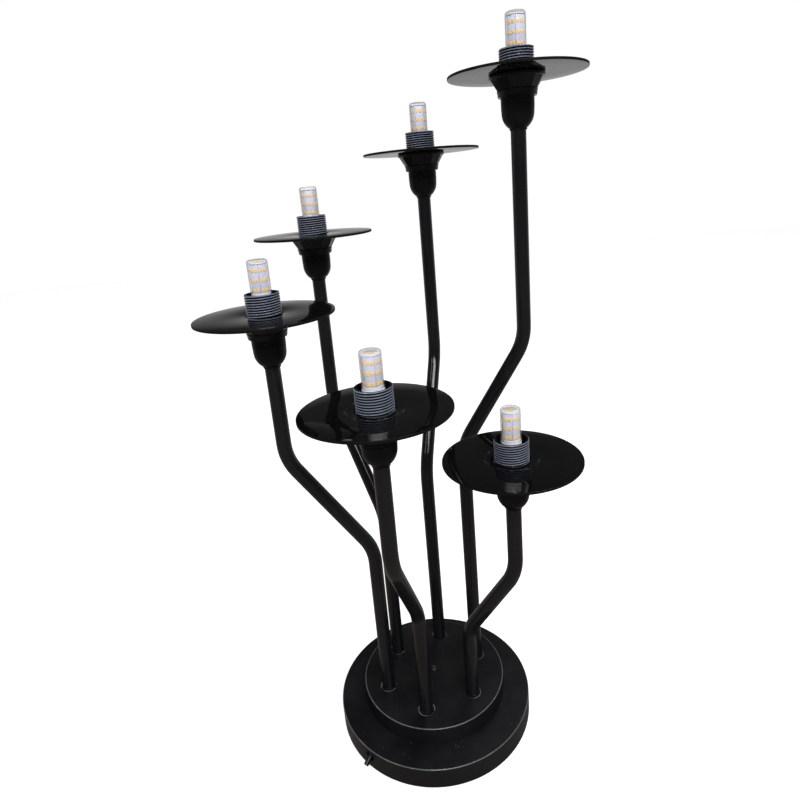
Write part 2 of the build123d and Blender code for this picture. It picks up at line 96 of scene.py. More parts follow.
class TREELAMP_PG_camera(bpy.types.PropertyGroup):
    """Where the photograph was taken from, in its own 800 x 800 frame."""

    frame_width: amount("Frame width", "Width and height of the photograph in pixels", 800.0)
    focal_pixels: amount("Focal length", "Focal length in pixels of the photograph", 593.65)
    centre_x: amount("Centre X", "Pixel column that the lens axis meets", 409.27)
    centre_y: amount("Centre Y", "Pixel row that the lens axis meets", 353.60)
    distance: length("Distance", "How far in front of the lamp's axis the lens is", 0.49724)
    height: length("Height", "Height of the lens above the floor", 0.5161)
    yaw: turn("Yaw", "Turn of the lens to the right", 0.219)
    pitch: turn("Pitch", "Tilt of the lens downwards", 15.759)
    roll: turn("Roll", "Roll of the camera, clockwise as seen from behind it", 4.75)


class TREELAMP_PG_stage(bpy.types.PropertyGroup):
    """Floor, backdrop and light."""

    floor_size: length("Floor size", "Side of the square floor", 8.0)
    floor_colour: colour("Floor colour", "Pale colour of the floor", (0.82, 0.82, 0.82))
    floor_glow: amount("Floor lift", "White added where the floor is seen or mirrored", 0.56)
    sky_level: amount("Sky level", "Strength of the pale surroundings on the lamp", 0.5)
    mirrored_lift: amount("Mirrored lift", "Share of the floor's lift that gloss shows", 0.1)
    mirrored_front: colour(
        "Mirrored front", "Floor in front of the lamp as gloss shows it", (0.15, 0.125, 0.10)
    )
    mirrored_back: length("Mirrored back", "Where gloss shows the floor pale again behind the lamp", 1.2)
    mirrored_level: amount("Mirrored backdrop", "Strength of the backdrop that gloss shows low down", 0.46)
    front_share: amount("Front share", "Share of that strength that gloss shows in front of the lamp", 0.25)
    backdrop_top: turn("Backdrop top", "Height at which that backdrop has faded out", 17.0)
    ceiling_level: amount("Ceiling level", "Strength of the dim ceiling that gloss shows above it", 0.05)
    front_power: power("Front", "Power of the wide front lamp", 38.0)
    side_power: power("Side", "Power of the side lamp", 5.0)
    back_power: power("Back", "Power of the rear lamp", 4.0)


class TREELAMP_PG_holder(bpy.types.PropertyGroup):
    """Sizes of a lampholder, from its rim's top."""

    sleeve_diameter: length("Sleeve diameter", "Outer diameter of the threaded sleeve", 0.028)
    sleeve_bore: length("Sleeve bore", "Inner diameter of the threaded sleeve", 0.024)
    sleeve_height: length("Sleeve height", "Height of the sleeve above the rim", 0.0191)
    thread_pitch: length("Thread pitch", "Rise of the thread in one turn", 0.002)
    thread_depth: length("Thread depth", "Depth of the thread's groove", 0.0009)
    rim_diameter: length("Rim diameter", "Diameter of the rim that the disc lies on", 0.045)
    rim_thickness: length("Rim thickness", "Thickness of the rim", 0.003)
    cone_diameter: length("Cone diameter", "Corner diameter of the cone's top", 0.0426)
    cone_height: length("Cone height", "Height of the flat-sided cone", 0.008)
    cone_sides: IntProperty(name="Cone sides", description="Number of flats round the cone", default=12)
    ring_diameter: length("Ring diameter", "Diameter of the ring under the cone", 0.033)
    ring_height: length("Ring height", "Height of the ring under the cone", 0.0056)
    ring_step: length("Ring step", "Depth of each step of that ring", 0.0003)
    ring_lip: length("Ring lip", "Height of the ring's two end lips", 0.0012)
    seat_depth: length("Seat depth", "Depth of the insert's shoulder below the rim's top", 0.011)
    seat_diameter: length("Seat diameter", "Diameter of the seat below that shoulder", 0.0268)
    cup_top_diameter: length("Cup top", "Diameter of the cup under the ring", 0.0277)
    cup_low_diameter: length("Cup bottom", "Diameter of the cup above its rounded bottom", 0.0265)
    cup_depth: length("Cup depth", "Depth of the cup's bottom below the rim's top", 0.0405)
    cup_shoulder: length("Cup shoulder", "Height of the cup's rounded bottom", 0.012)
    cup_wall: length("Cup wall", "Thickness of the cup's wall", 0.0016)
    cup_floor: length("Cup floor", "Thickness of the cup's floor", 0.0025)
    spigot_diameter: length("Spigot", "Diameter of the cup's spigot inside the skirt", 0.0266)
    spigot_top: length("Spigot top", "Depth of the spigot's end below the rim's top", 0.013)
    groove_height: length("Groove height", "Height of the gap between ring and cup", 0.0008)
    pocket_diameter: length("Pocket", "Diameter of the pocket for the nut", 0.0168)
    nipple_hole: length("Nipple hole", "Diameter of the hole in the cup's floor", 0.0102)
    neck_diameter: length("Neck diameter", "Diameter of the neck round the tube's end", 0.0143)
    neck_height: length("Neck height", "Height of that neck", 0.0015)
    tube_clear_diameter: length("Neck bore", "Bore of the neck", 0.013)


class TREELAMP_PG_disc(bpy.types.PropertyGroup):
    """Sizes of a mirror disc."""

    diameter: length("Diameter", "Outer diameter", 0.112)
    hole: length("Hole", "Diameter of the middle hole", 0.030)
    thickness: length("Thickness", "Thickness of the disc", 0.002)
    edge_round: length("Edge round", "Rounding of the edges", 0.0003)
    scuff_radius: length("Scuff radius", "Radius of the ring that a shade ring has rubbed", 0.0215)


class TREELAMP_PG_bulb(bpy.types.PropertyGroup):
    """Sizes of a capsule bulb, from its lampholder's rim."""

    diameter: length("Diameter", "Diameter of the white foot and of the clear cover", 0.0164)
    foot_low: length("Foot bottom", "Height of the foot's bottom above the rim's top", 0.001)
    collar_top: length("Collar top", "Height of the foot's top above the rim's top", 0.0179)
    spigot_height: length("Spigot height", "Height of the step inside the cover", 0.002)
    spigot_gap: length("Spigot gap", "Gap between that step and the cover", 0.0002)
    column_height: length("Column height", "Height of the LED column", 0.0225)
    column_width: length("Column width", "Corner width of the LED column", 0.0149)
    board_gap: length("Board gap", "Dark gap between two boards of the column", 0.0009)
    board_thickness: length("Board thickness", "Thickness of a board", 0.0008)
    chip_width: length("Chip width", "Width of an LED chip", 0.0024)
    chip_height: length("Chip height", "Height of an LED chip", 0.0024)
    chip_spacing: length("Chip spacing", "Distance between two chips in a row", 0.0032)
    first_row: length("First row", "Height of the lowest chips above the column's foot", 0.0022)
    row_pitch: length("Row pitch", "Distance between two rows of chips", 0.0076)
    rows: IntProperty(name="Rows", description="Rows of chips on a board", default=3)
    crown_diameter: length("Crown diameter", "Diameter of the board on top", 0.0146)
    crown_height: length("Crown height", "Thickness of the board on top", 0.0008)
    cover_wall: length("Cover wall", "Thickness of the clear cover", 0.00045)
    cover_height: length("Cover height", "Height of the clear cover", 0.0277)
    cover_round: length("Cover round", "Rounding of the cover's top", 0.0022)
    pin_spacing: length("Pin spacing", "Distance between the two pins", 0.009)
    pin_width: length("Pin width", "Width of a pin", 0.003)
    pin_thickness: length("Pin thickness", "Thickness of a pin", 0.0008)
    pin_length: length("Pin length", "Length of a pin below the foot", 0.010)


class TREELAMP_PG_base(bpy.types.PropertyGroup):
    """Sizes of the small pieces on the base."""

    screw_head: length("Screw head", "Diameter of the middle screw's head", 0.007)
    screw_height: length("Screw height", "Height of the middle screw's head", 0.0022)
    screw_socket: length("Screw socket", "Width of its six-sided socket across the flats", 0.0025)


class TREELAMP_PG_finish(bpy.types.PropertyGroup):
    """Colours of the finishes."""

    coat: colour("Coat", "Black coat of the base and tubes", (0.0052, 0.0053, 0.0062))
    # Edge colour: the pale line on the base's top edges and seat rims, partly rubbed wear and partly a
    # painted highlight
    edge: colour("Rubbed edge", "Coat where the base's edges are rubbed", (0.16, 0.168, 0.19))
    moulding: colour("Moulding", "Black moulding of the lampholders", (0.0045, 0.0045, 0.005))
    # Thread crest colour: a painted highlight, pale bluish crests that stand in for light caught along the
    # thread
    crest_highlight: colour("Thread crest", "Moulding where the thread's crests are rubbed", (0.18, 0.205, 0.27))
    mirror: colour("Mirror", "Black of the mirror discs", (0.0025, 0.0025, 0.0028))
    dust: colour("Dust", "Pale dust that has settled", (0.22, 0.22, 0.22))
    board: colour("Board", "White lacquer of the LED boards", (0.70, 0.71, 0.86))
    chip: colour("Chip", "Amber phosphor of the LED chips", (1.0, 0.66, 0.19))
    foot: colour("Foot", "White plastic of the bulb's foot and crown", (0.86, 0.86, 0.90))
    cover: colour("Cover", "Grey cast of the bulb's clear cover", (0.22, 0.22, 0.26))


# Azimuth in degrees of each bulb's pins, and of one corner of its six-sided column
PIN_TURNS = {1: 18.5, 2: 2.0, 3: 10.0, 4: 43.5, 5: 58.5, 6: 31.0}
COLUMN_TURNS = PIN_TURNS | {5: 54.0}


# ------------------------------------------------------------------ mesh helpers

def rounded(corners, steps=4):
    """Outline through (radius, height, rounding) corners, each rounded by an arc."""
    outline = []
    count = len(corners)
    for index, (x, y, rounding) in enumerate(corners):
        here = Vector((x, y))
        if rounding <= 0:
            outline.append(here)
            continue
        before = Vector(corners[index - 1][:2]) - here
        after = Vector(corners[(index + 1) % count][:2]) - here
        half = before.angle(after) / 2
        cut = min(rounding / math.tan(half), before.length * 0.49, after.length * 0.49)
        radius = cut * math.tan(half)
        start = here + before.normalized() * cut
        end = here + after.normalized() * cut
        inwards = (before.normalized() + after.normalized()).normalized()
        middle = here + inwards * (radius / math.sin(half))
        first = start - middle
        sweep = first.angle_signed(end - middle)
        for step in range(steps + 1):
            outline.append(middle + Matrix.Rotation(-sweep * step / steps, 2) @ first)
    return outline


def lathe(outline, segments, radius_at=None):
    """Closed outline of (radius, height) points turned round Z; radius_at may shape it."""
    mesh = bmesh.new()
    columns = []
    for segment in range(segments):
        angle = 2 * math.pi * segment / segments
        column = []
        for radius, height in outline:
            if radius_at:
                radius = radius_at(radius, height, angle)
            column.append(mesh.verts.new((radius * math.cos(angle), radius * math.sin(angle), height)))
        columns.append(column)
    count = len(outline)
    for segment, column in enumerate(columns):
        following = columns[(segment + 1) % segments]
        for row in range(count):
            upper = (row + 1) % count
            mesh.faces.new((column[row], following[row], following[upper], column[upper]))
    return mesh


def solid_lathe(outline, segments):
    """Open outline that starts and ends on the axis, turned round Z."""
    mesh = bmesh.new()
    poles = [mesh.verts.new((0, 0, outline[0][1])), mesh.verts.new((0, 0, outline[-1][1]))]
    columns = []
    for segment in range(segments):
        angle = 2 * math.pi * segment / segments
        ring = [(r * math.cos(angle), r * math.sin(angle), z) for r, z in outline[1:-1]]
        columns.append([mesh.verts.new(point) for point in ring])
    for segment, column in enumerate(columns):
        following = columns[(segment + 1) % segments]
        mesh.faces.new((poles[0], following[0], column[0]))
        mesh.faces.new((column[-1], following[-1], poles[1]))
        for row in range(len(column) - 1):
            mesh.faces.new((column[row], following[row], following[row + 1], column[row + 1]))
    return mesh


def soften(mesh, edges, rounding):
    """Rounds edges in two steps."""
    bmesh.ops.bevel(
        mesh, geom=edges, offset=rounding, segments=2, profile=0.5, affect="EDGES", clamp_overlap=True
    )


def block(mesh, size, place, rounding):
    """Adds a block with softened edges, its middle at place, to a mesh."""
    made = bmesh.ops.create_cube(mesh, size=1.0, matrix=place @ Matrix.Diagonal((*size, 1.0)))
    edges = {edge for vertex in made["verts"] for edge in vertex.link_edges}
    soften(mesh, list(edges), rounding)


def add_object(name, mesh, material, place=(0.0, 0.0, 0.0), azimuth=0.0, sharp=30.0):
    """Object from a bmesh turned about Z by degrees, smooth except across sharper edges."""
    bmesh.ops.rotate(mesh, verts=mesh.verts, matrix=Matrix.Rotation(math.radians(azimuth), 3, "Z"))
    bmesh.ops.recalc_face_normals(mesh, faces=mesh.faces)
    for face in mesh.faces:
        face.smooth = True
    limit = math.radians(sharp)
    for edge in mesh.edges:
        if len(edge.link_faces) == 2 and edge.calc_face_angle() > limit:
            edge.smooth = False
    data = bpy.data.meshes.new(name)
    mesh.to_mesh(data)
    mesh.free()
    data.materials.append(material)
    piece = bpy.data.objects.new(name, data)
    piece.location = place
    bpy.context.scene.collection.objects.link(piece)
    return piece


# ------------------------------------------------------------------ shared material effects

def effect_group(name, inputs, outputs):
    """New shader node group with float inputs {name: default} and float outputs by name."""
    group = bpy.data.node_groups.new(name, "ShaderNodeTree")
    for label, default in inputs.items():
        socket = group.interface.new_socket(label, in_out="INPUT", socket_type="NodeSocketFloat")
        socket.default_value = default
    for label in outputs:
        group.interface.new_socket(label, in_out="OUTPUT", socket_type="NodeSocketFloat")
    return group, group.nodes.new("NodeGroupInput"), group.nodes.new("NodeGroupOutput")


def noise_texture(tree, scale, detail=2.0, roughness=0.5):
    """Noise texture node."""
    node = tree.nodes.new("ShaderNodeTexNoise")
    node.inputs["Scale"].default_value = scale
    node.inputs["Detail"].default_value = detail
    node.inputs["Roughness"].default_value = roughness
    return node


def ramp(tree, source, low, high, out_low=0.0, out_high=1.0):
    """Map Range node that turns low..high into out_low..out_high, clamped."""
    node = tree.nodes.new("ShaderNodeMapRange")
    node.inputs["From Min"].default_value = low
    node.inputs["From Max"].default_value = high
    node.inputs["To Min"].default_value = out_low
    node.inputs["To Max"].default_value = out_high
    tree.links.new(source, node.inputs["Value"])
    return node.outputs["Result"]


def arithmetic(tree, operation, first, second):
    """Math node on two sockets or numbers."""
    node = tree.nodes.new("ShaderNodeMath")
    node.operation = operation
    for index, value in enumerate((first, second)):
        if isinstance(value, (int, float)):
            node.inputs[index].default_value = value
        else:
            tree.links.new(value, node.inputs[index])
    return node.outputs["Value"]


def object_place(tree):
    """Place in the piece's own frame, and the node that splits it into X, Y and Z."""
    place = tree.nodes.new("ShaderNodeTexCoord").outputs["Object"]
    split = tree.nodes.new("ShaderNodeSeparateXYZ")
    tree.links.new(place, split.inputs["Vector"])
    return place, split


def distance(tree, first, second):
    """Long side of a right-angled triangle, from its two short ones."""
    squares = [arithmetic(tree, "POWER", side, 2.0) for side in (first, second)]
    return arithmetic(tree, "SQRT", arithmetic(tree, "ADD", *squares), 0.0)


def broken_up(tree, place, noise, *limits):
    """Patches from a noise texture, with the limits that ramp takes."""
    tree.links.new(place, noise.inputs["Vector"])
    return ramp(tree, noise.outputs["Fac"], *limits)


def near_line(tree, source, reached, line, full, gone):
    """Mask of a line that a group's input places: full and gone are shares of its width."""
    offset = arithmetic(tree, "SUBTRACT", reached, source.outputs[line])
    away = arithmetic(tree, "ABSOLUTE", offset, 0.0)
    return ramp(tree, arithmetic(tree, "DIVIDE", away, source.outputs["Width"]), full, gone, 1.0, 0.0)


def line_mask(tree, source, sink, split, near, patches):
    """Puts out a line's mask, in patches and above the group's lowest height."""
    above = arithmetic(tree, "GREATER_THAN", split.outputs["Z"], source.outputs["Lowest"])
    mask = arithmetic(tree, "MULTIPLY", arithmetic(tree, "MULTIPLY", near, above), patches)
    tree.links.new(mask, sink.inputs["Mask"])


def build_coat_grain():
    """Group: fine orange-peel height and a slow tone that varies over a coated surface."""
    inputs = {"Peel scale": 900.0, "Cloud scale": 14.0}
    group, source, sink = effect_group("Coat grain", inputs, ["Height", "Tone"])
    place, _ = object_place(group)
    peel = noise_texture(group, 900.0, 3.0, 0.55)
    cloud = noise_texture(group, 14.0, 4.0, 0.6)
    for texture, label in ((peel, "Peel scale"), (cloud, "Cloud scale")):
        group.links.new(place, texture.inputs["Vector"])
        group.links.new(source.outputs[label], texture.inputs["Scale"])
    group.links.new(peel.outputs["Fac"], sink.inputs["Height"])
    group.links.new(ramp(group, cloud.outputs["Fac"], 0.3, 0.7), sink.inputs["Tone"])
    return group


def build_settled_dust():
    """Group: mask of specks and thin film that lie on surfaces facing up."""
    inputs = {"Speck scale": 420.0, "Specks": 0.5, "Film": 0.1}
    group, source, sink = effect_group("Settled dust", inputs, ["Mask"])
    place = group.nodes.new("ShaderNodeTexCoord").outputs["Object"]
    geometry = group.nodes.new("ShaderNodeNewGeometry")
    facing = group.nodes.new("ShaderNodeSeparateXYZ")
    group.links.new(geometry.outputs["Normal"], facing.inputs["Vector"])
    upward = ramp(group, facing.outputs["Z"], 0.55, 0.95)
    grains = group.nodes.new("ShaderNodeTexVoronoi")
    grains.inputs["Randomness"].default_value = 1.0
    group.links.new(place, grains.inputs["Vector"])
    group.links.new(source.outputs["Speck scale"], grains.inputs["Scale"])
    spot = ramp(group, grains.outputs["Distance"], 0.10, 0.24, 1.0, 0.0)
    rarity = group.nodes.new("ShaderNodeSeparateColor")
    group.links.new(grains.outputs["Color"], rarity.inputs["Color"])
    rare = ramp(group, rarity.outputs["Red"], 0.93, 0.97)
    rare_spot = arithmetic(group, "MULTIPLY", spot, rare)
    specks = arithmetic(group, "MULTIPLY", rare_spot, source.outputs["Specks"])
    haze = broken_up(group, place, noise_texture(group, 30.0, 5.0, 0.65), 0.42, 0.72)
    film = arithmetic(group, "MULTIPLY", haze, source.outputs["Film"])
    total = arithmetic(group, "ADD", specks, film)
    group.links.new(arithmetic(group, "MULTIPLY", total, upward), sink.inputs["Mask"])
    return group


def build_wear_and_highlight_ring():
    """Group: mask round a circle about the piece's own axis, in patches or whole; it marks rubbed wear on
    the discs, wear with a painted highlight on tier edges, and a painted highlight on thread crests.
    """
    inputs = {"Radius": 0.0215, "Width": 0.0015, "Lowest": -1.0, "Whole": 0.0}
    group, source, sink = effect_group("Wear and highlight ring", inputs, ["Mask"])
    place, split = object_place(group)
    radius = distance(group, split.outputs["X"], split.outputs["Y"])
    near = near_line(group, source, radius, "Radius", 0.4, 0.9)
    patches = broken_up(group, place, noise_texture(group, 260.0, 4.0, 0.7), 0.50, 0.64)
    patches = arithmetic(group, "MAXIMUM", patches, source.outputs["Whole"])
    line_mask(group, source, sink, split, near, patches)
    return group


def build_seat_rims():
    """Group: mask on the rims of the holes that stand evenly round a circle."""
    inputs = {
        "Circle radius": 0.0482, "First azimuth": 0.323, "Rim radius": 0.0076,
        "Width": 0.0006, "Lowest": 0.0,
    }
    group, source, sink = effect_group("Seat rims", inputs, ["Mask"])
    place, split = object_place(group)
    radius = distance(group, split.outputs["X"], split.outputs["Y"])
    azimuth = arithmetic(group, "ARCTAN2", split.outputs["Y"], split.outputs["X"])
    turned = arithmetic(group, "SUBTRACT", azimuth, source.outputs["First azimuth"])
    sector = 2 * math.pi / len(ARMS)
    wrapped = arithmetic(group, "FLOORED_MODULO", arithmetic(group, "ADD", turned, sector / 2), sector)
    nearest = arithmetic(group, "SUBTRACT", wrapped, sector / 2)
    along = arithmetic(group, "MULTIPLY", radius, arithmetic(group, "COSINE", nearest, 0.0))
    ahead = arithmetic(group, "SUBTRACT", along, source.outputs["Circle radius"])
    beside = arithmetic(group, "MULTIPLY", radius, arithmetic(group, "SINE", nearest, 0.0))
    near = near_line(group, source, distance(group, ahead, beside), "Rim radius", 0.3, 1.0)
    patches = broken_up(group, place, noise_texture(group, 90.0, 2.0, 0.5), 0.45, 0.60, 0.05, 1.0)
    line_mask(group, source, sink, split, near, patches)
    return group


# ------------------------------------------------------------------ materials

class Finish:
    """A material's node tree with its Principled BSDF and short ways to wire it."""

    def __init__(self, name, base, roughness, level=0.5, metallic=0.0):
        self.material = bpy.data.materials.new(name)
        self.material.use_nodes = True
        self.tree = self.material.node_tree
        self.shader = self.tree.nodes["Principled BSDF"]
        self.shader.inputs["Base Color"].default_value = (*base, 1.0)
        self.shader.inputs["Roughness"].default_value = roughness
        self.shader.inputs["Specular IOR Level"].default_value = level
        self.shader.inputs["Metallic"].default_value = metallic

    def effect(self, group, **values):
        """Places a shared effect with this finish's own values."""
        node = self.tree.nodes.new("ShaderNodeGroup")
        node.node_tree = group
        for label, value in values.items():
            node.inputs[label.replace("_", " ").capitalize()].default_value = value
        return node

    def roughness_from(self, source, low, high):
        """Roughness that runs from low to high as the source goes from 0 to 1."""
        value = ramp(self.tree, source, 0.0, 1.0, low, high)
        self.tree.links.new(value, self.shader.inputs["Roughness"])
        return value

    def smoother(self, source, share, under):
        """Takes a share off a roughness where the source says."""
        kept = ramp(self.tree, source, 0.0, 1.0, 1.0, 1.0 - share)
        value = arithmetic(self.tree, "MULTIPLY", under, kept)
        self.tree.links.new(value, self.shader.inputs["Roughness"])
        return value

    def polish_from(self, source):
        """Clear polish where the source says."""
        self.tree.links.new(source, self.shader.inputs["Coat Weight"])
        self.shader.inputs["Coat Roughness"].default_value = 0.2

    def bump_from(self, source, strength, distance):
        """Bump from a height."""
        bump = self.tree.nodes.new("ShaderNodeBump")
        bump.inputs["Strength"].default_value = strength
        bump.inputs["Distance"].default_value = distance
        self.tree.links.new(source, bump.inputs["Height"])
        self.tree.links.new(bump.outputs["Normal"], self.shader.inputs["Normal"])

    def colour_from(self, source, low, high):
        """Base colour from low, a colour or an earlier mix, to high as the source goes from 0 to 1."""
        mix = self.tree.nodes.new("ShaderNodeMix")
        mix.data_type = "RGBA"
        if isinstance(low, bpy.types.Node):
            self.tree.links.new(low.outputs["Result"], mix.inputs["A"])
        else:
            mix.inputs["A"].default_value = (*low, 1.0)
        mix.inputs["B"].default_value = (*high, 1.0)
        self.tree.links.new(source, mix.inputs["Factor"])
        self.tree.links.new(mix.outputs["Result"], self.shader.inputs["Base Color"])
        return mix


def shade(tone, factor):
    """A colour made lighter or darker."""
    return tuple(channel * factor for channel in tone)


def coated(name, tone, roughness, level, groups, dust=(0.0, 0.0), peel=0.05, rubbed=(), pale=None):
    """Black coat: slow tone changes, orange peel, pale places that are partly rubbed wear and partly
    painted highlight, and dust where it faces up.
    """
    finish = Finish(name, tone, roughness, level)
    grain = finish.effect(groups["grain"])
    under = finish.colour_from(grain.outputs["Tone"], shade(tone, 0.8), shade(tone, 1.3))
    gloss = finish.roughness_from(grain.outputs["Tone"], roughness * 0.85, roughness * 1.15)
    finish.bump_from(grain.outputs["Height"], peel, 0.0002)
    # Each mask lays the pale colour with a clear polish: on tier edges and seat rims partly wear and partly
    # a painted highlight, on thread crests a painted highlight
    for effect, values in rubbed:
        mask = finish.effect(groups[effect], **values).outputs["Mask"]
        under = finish.colour_from(mask, under, pale)
        gloss = finish.smoother(mask, 0.4, gloss)
        finish.polish_from(mask)
    if dust[0] or dust[1]:
        settled = finish.effect(groups["dust"], specks=dust[0], film=dust[1])
        finish.colour_from(settled.outputs["Mask"], under, bpy.context.scene.treelamp_finish.dust)
    return finish.material


def mirror_finish(groups):
    """Black mirror with a rubbed ring and a little dust."""
    colours = bpy.context.scene.treelamp_finish
    finish = Finish("black_mirror", colours.mirror, 0.02, 0.5)
    ring = finish.effect(groups["ring"], radius=bpy.context.scene.treelamp_disc.scuff_radius)
    settled = finish.effect(groups["dust"], specks=0.12, film=0.006)
    under = finish.colour_from(ring.outputs["Mask"], colours.mirror, (0.05, 0.05, 0.052))
    finish.colour_from(settled.outputs["Mask"], under, colours.dust)
    finish.roughness_from(ring.outputs["Mask"], 0.02, 0.35)
    return finish.material


def plain_moulding(name, tone, roughness, groups, level=0.5):
    """Moulded plastic or ceramic: faint mottling and a fine grain."""
    finish = Finish(name, tone, roughness, level)
    grain = finish.effect(groups["grain"], cloud_scale=60.0)
    finish.colour_from(grain.outputs["Tone"], shade(tone, 0.92), tone)
    finish.roughness_from(grain.outputs["Tone"], roughness * 0.9, roughness * 1.1)
    finish.bump_from(grain.outputs["Height"], 0.04, 0.0001)
    return finish.material


def felt_finish(groups):
    """Black felt: soft sheen and a matted, fibrous surface."""
    finish = Finish("black_felt", (0.012, 0.012, 0.013), 0.95, 0.1)
    finish.shader.inputs["Sheen Weight"].default_value = 0.3
    fibres = finish.effect(groups["grain"], peel_scale=1500.0, cloud_scale=300.0)
    finish.colour_from(fibres.outputs["Tone"], (0.006, 0.006, 0.007), (0.02, 0.02, 0.021))
    finish.bump_from(fibres.outputs["Height"], 0.6, 0.0005)
    return finish.material


def metal(name, tone, roughness, groups, grain_scale=200.0):
    """Bare or plated metal with a worn, cloudy finish."""
    finish = Finish(name, tone, roughness, 0.5, metallic=1.0)
    grain = finish.effect(groups["grain"], cloud_scale=grain_scale)
    finish.colour_from(grain.outputs["Tone"], shade(tone, 0.75), tone)
    finish.roughness_from(grain.outputs["Tone"], roughness * 0.8, roughness * 1.3)
    finish.bump_from(grain.outputs["Height"], 0.08, 0.0002)
    return finish.material


def clear_finish():
    """Clear thin plastic: nearly invisible face on, greyer and glossier edge on."""
    finish = Finish("clear_cover", bpy.context.scene.treelamp_finish.cover, 0.06, 0.5)
    facing = finish.tree.nodes.new("ShaderNodeLayerWeight")
    facing.inputs["Blend"].default_value = 0.5
    edge = arithmetic(finish.tree, "POWER", facing.outputs["Facing"], 3.0)
    finish.tree.links.new(ramp(finish.tree, edge, 0.0, 1.0, 0.05, 0.75), finish.shader.inputs["Alpha"])
    return finish.material


def chip_finish(groups):
    """Amber phosphor, domed and slightly mottled."""
    tone = bpy.context.scene.treelamp_finish.chip
    finish = Finish("amber_phosphor", tone, 0.35, 0.3)
    grain = finish.effect(groups["grain"], cloud_scale=700.0)
    finish.colour_from(grain.outputs["Tone"], shade(tone, 0.93), tone)
    return finish.material


def tier_edge(node_name):
    """Pale ring along the top edge of a tier, from the node's box: partly rubbed wear, partly a painted
    highlight on the edge.
    """
    low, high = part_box(node_name)
    radius = (high[0] - low[0]) / 2
    width = 1.1 * MM
    return "ring", {"radius": radius, "width": width, "lowest": high[2] - width / 2, "whole": 0.5}


def build_finishes():
    """Every material of the lamp, by name."""
    colours = bpy.context.scene.treelamp_finish
    holder = bpy.context.scene.treelamp_holder
    groups = {
        "grain": build_coat_grain(), "dust": build_settled_dust(),
        "ring": build_wear_and_highlight_ring(), "seats": build_seat_rims(),
    }
    # Pale rims round the tube seats: partly worn edge, partly a painted highlight on the rims
    seats = ("seats", {"lowest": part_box("upper_tier")[1][2] - 1.0 * MM})
    sleeve = holder.sleeve_diameter / 2
    # Pale crests and top lip on the thread: a painted highlight along the crests, laid through the ring
    # mask
    crests = ("ring", {"radius": sleeve, "width": 0.55 * MM, "whole": 0.9, "lowest": 0.0})
    # Dust, orange peel and the pale edge colour, which is partly wear and partly a painted highlight
    dust_and_edge_highlight = {"dust": (0.3, 0.02), "peel": 0.10, "pale": colours.edge}
    return {
        "lower_tier": coated("satin_lower_tier", colours.coat, 0.34, 0.25, groups,
                             rubbed=[tier_edge("lower_tier")], **dust_and_edge_highlight),
        "upper_tier": coated("satin_upper_tier", colours.coat, 0.34, 0.25, groups,
                             rubbed=[tier_edge("upper_tier"), seats], **dust_and_edge_highlight),
        "plate": coated("satin_plate", colours.coat, 0.4, 0.2, groups),
        "tube": coated("satin_tube", colours.coat, 0.15, 0.35, groups, dust=(0.15, 0.0), peel=0.04),
        "cup": coated("smooth_moulding", colours.moulding, 0.32, 0.10, groups, dust=(0.15, 0.01)),
        "skirt": coated("threaded_moulding", colours.moulding, 0.16, 0.16, groups, dust=(0.15, 0.01),
                        rubbed=[crests], pale=colours.crest_highlight),
        "disc_edge": coated("disc_edge", colours.moulding, 0.5, 0.08, groups),
        "lever": coated("lever_black", colours.moulding, 0.22, 0.4, groups),
        "mirror": mirror_finish(groups),
        "foot": plain_moulding("white_foot", colours.foot, 0.35, groups),
        "board": plain_moulding("white_board", colours.board, 0.40, groups),
        "core": plain_moulding("grey_core", (0.06, 0.06, 0.07), 0.5, groups),
        "chip": chip_finish(groups),
        "clear": clear_finish(),
        "ceramic": plain_moulding("ceramic", (0.62, 0.60, 0.55), 0.6, groups),
        "terminal": plain_moulding("terminal_plastic", (0.60, 0.58, 0.52), 0.5, groups),
        "sheath": plain_moulding("lead_sheath", (0.03, 0.03, 0.03), 0.5, groups),
        "felt": felt_finish(groups),
        "switch": plain_moulding("switch_plastic", colours.moulding, 0.4, groups, level=0.3),
        "zinc": metal("zinc_steel", (0.55, 0.55, 0.57), 0.35, groups),
        "screw": metal("dark_screw", (0.12, 0.12, 0.125), 0.40, groups),
        "iron": metal("cast_iron", (0.20, 0.19, 0.18), 0.7, groups),
    }


# CAD nodes that stay in view, and the finish of each
NODE_FINISHES = {
    "lower_tier": "lower_tier", "upper_tier": "upper_tier", "bottom_plate": "plate", "base_felt": "felt",
    "plate_screws": "zinc", "ballast": "iron", "junction_block": "terminal", "inner_leads": "sheath",
    "arm_nipples": "zinc", "arm_nuts": "zinc", "holder_nipples": "zinc", "holder_nuts": "zinc",
    "switch_body": "switch", "switch_lever": "lever", "inlet_bushing": "switch",
    "arm_tube": "tube", "socket_insert": "ceramic",
}


def finish_of(node_name):
    """Finish name of a CAD node, or None where a finer piece replaces it."""
    stem = node_name.rsplit("_", 1)[0] if node_name[-1].isdigit() else node_name
    return NODE_FINISHES.get(stem)


# ------------------------------------------------------------------ operators

finishes = {}


